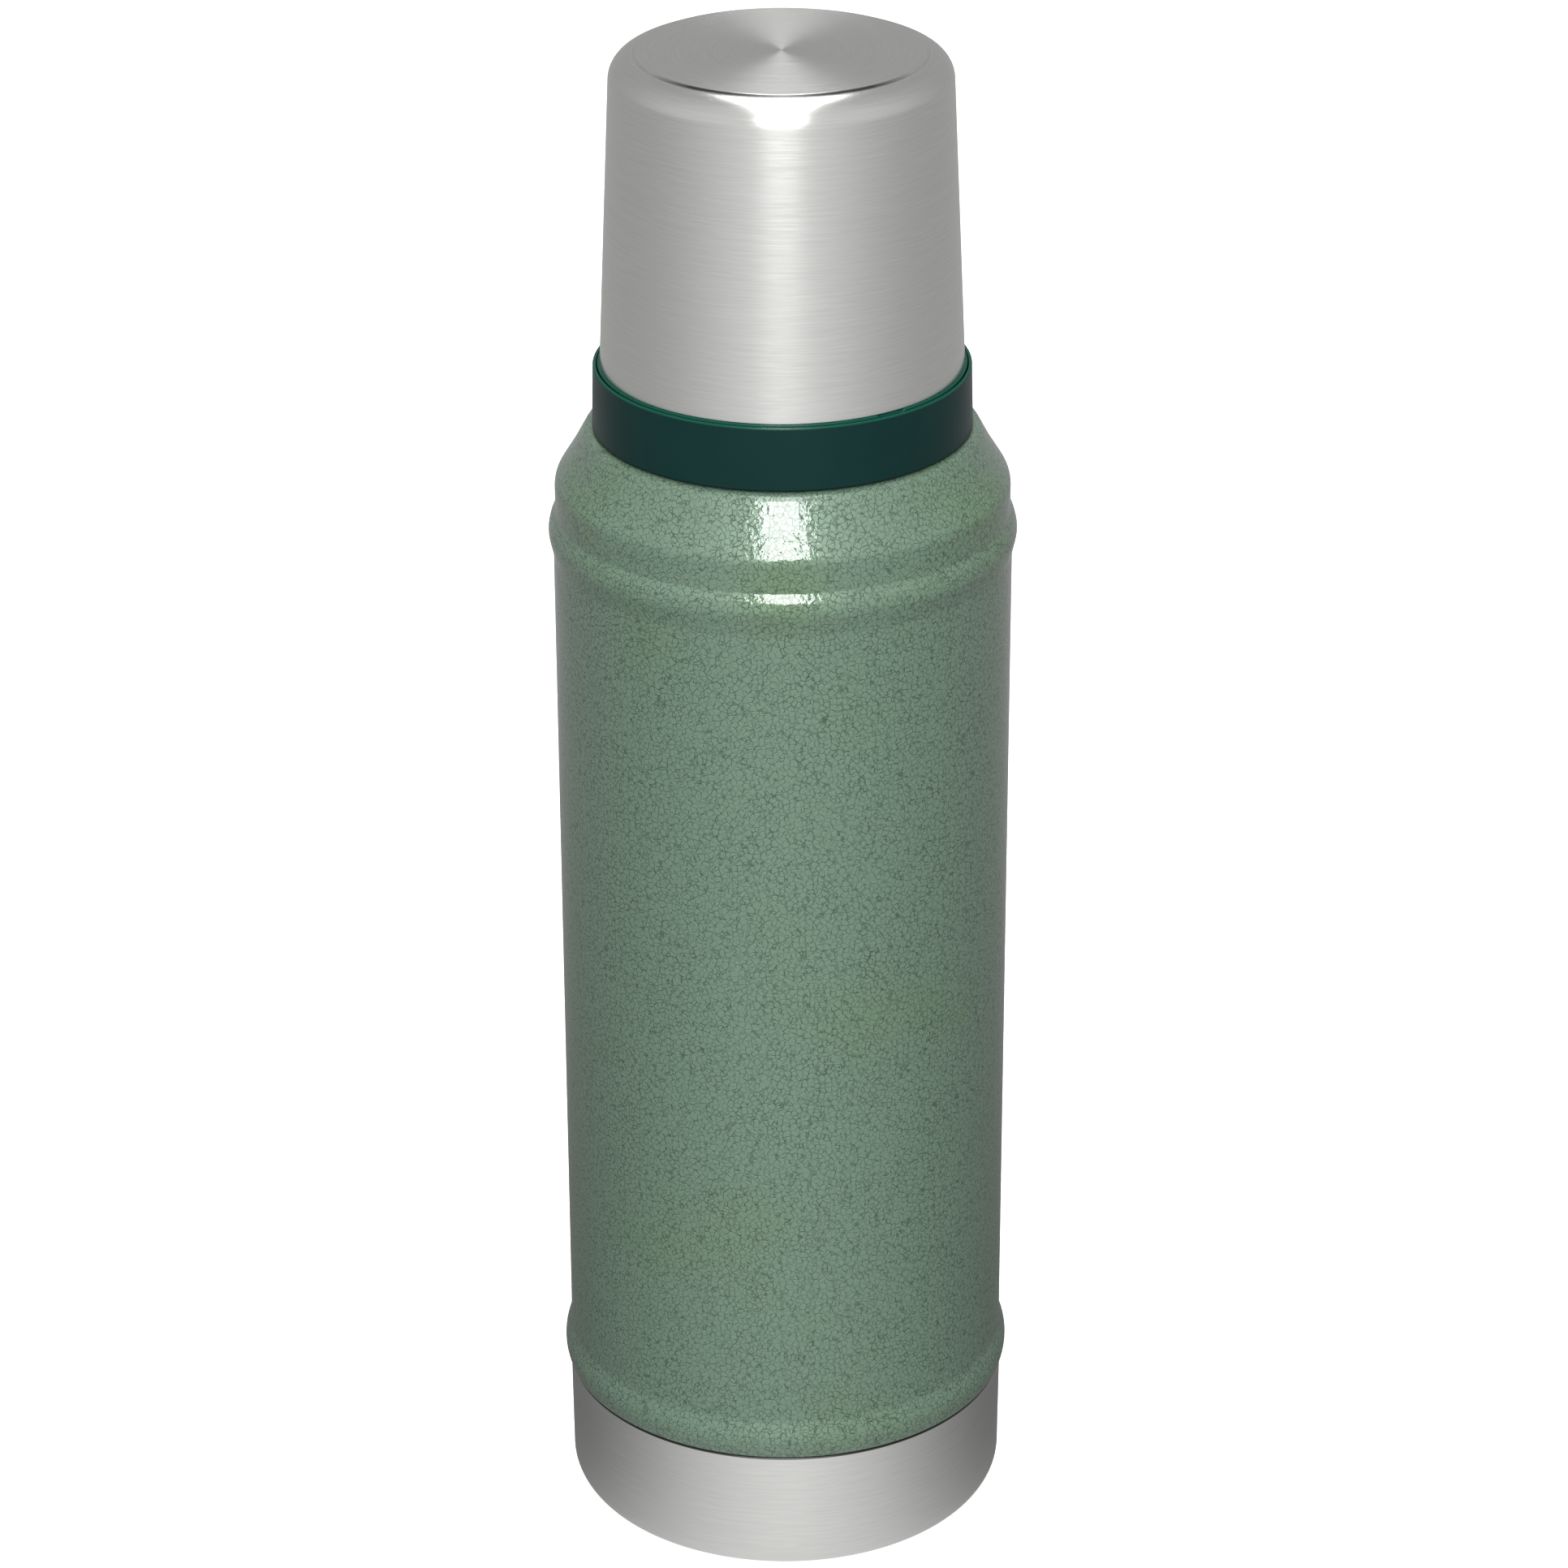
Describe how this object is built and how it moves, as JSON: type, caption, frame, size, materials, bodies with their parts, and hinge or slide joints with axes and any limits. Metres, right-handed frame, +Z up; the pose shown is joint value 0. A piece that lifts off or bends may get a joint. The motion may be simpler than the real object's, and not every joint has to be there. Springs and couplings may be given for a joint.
{
  "type": "vacuum flask",
  "caption": "Steel vacuum flask with a hammertone body, a screw stopper and a screw-on drinking cup that covers it.",
  "frame": {"origin": "centre of the base, on the surface that the flask stands on", "axes": "+Z up along the flask's axis, -Y towards the viewer"},
  "size_m": [0.0914, 0.0914, 0.3064],
  "materials": {
    "painted_shell": "gloss",
    "brushed_steel": "satin",
    "bare_steel": "satin",
    "foil": "polished",
    "getter_metal": "matte",
    "solder": "satin",
    "foam": "matte",
    "collar_plastic": "satin",
    "stopper_plastic": "satin",
    "seal_rubber": "matte"
  },
  "bodies": {
    "bottle": {"outer_shell": "painted_shell", "outer_shoulder": "painted_shell", "base_cup": "brushed_steel", "base_pad": "foam", "outer_bottom": "bare_steel", "exhaust_seal": "solder", "inner_vessel": "bare_steel", "inner_neck": "bare_steel", "inner_bottom": "bare_steel", "radiation_foil": "foil", "getter": "getter_metal", "getter_clip": "bare_steel", "neck_collar": "collar_plastic", "collar_gasket": "seal_rubber"},
    "cup_seal": {"cup_gasket": "seal_rubber"},
    "cup": {"cup_shell": "brushed_steel", "cup_liner": "bare_steel", "cup_thread_ring": "collar_plastic"},
    "stopper_seal": {"stopper_upper_seal": "seal_rubber"},
    "stopper": {"stopper_body": "stopper_plastic", "stopper_knob": "stopper_plastic", "stopper_insulation": "foam", "stopper_base_cap": "stopper_plastic", "stopper_lower_seal": "seal_rubber"}
  },
  "joints": [
    {"name": "cup_rise", "type": "slide", "parent": "bottle", "child": "cup_seal", "axis": [0, 0, 1], "range_m": [0, 0.0721]},
    {"name": "cup_turn", "type": "hinge", "parent": "cup_seal", "child": "cup", "pos_m": [0, 0, 0.2455], "axis": [0, 0, 1], "range_deg": [0, 3240]},
    {"name": "stopper_rise", "type": "slide", "parent": "bottle", "child": "stopper_seal", "axis": [0, 0, 1], "range_m": [0, 0.0341]},
    {"name": "stopper_turn", "type": "hinge", "parent": "stopper_seal", "child": "stopper", "pos_m": [0, 0, 0.25], "axis": [0, 0, 1], "range_deg": [0, 2448]}
  ],
  "couplings": [
    {"joint": "cup_rise", "follows": "cup_turn", "m_per_rad": 0.0012732},
    {"joint": "stopper_rise", "follows": "stopper_turn", "m_per_rad": 0.00079577}
  ]
}
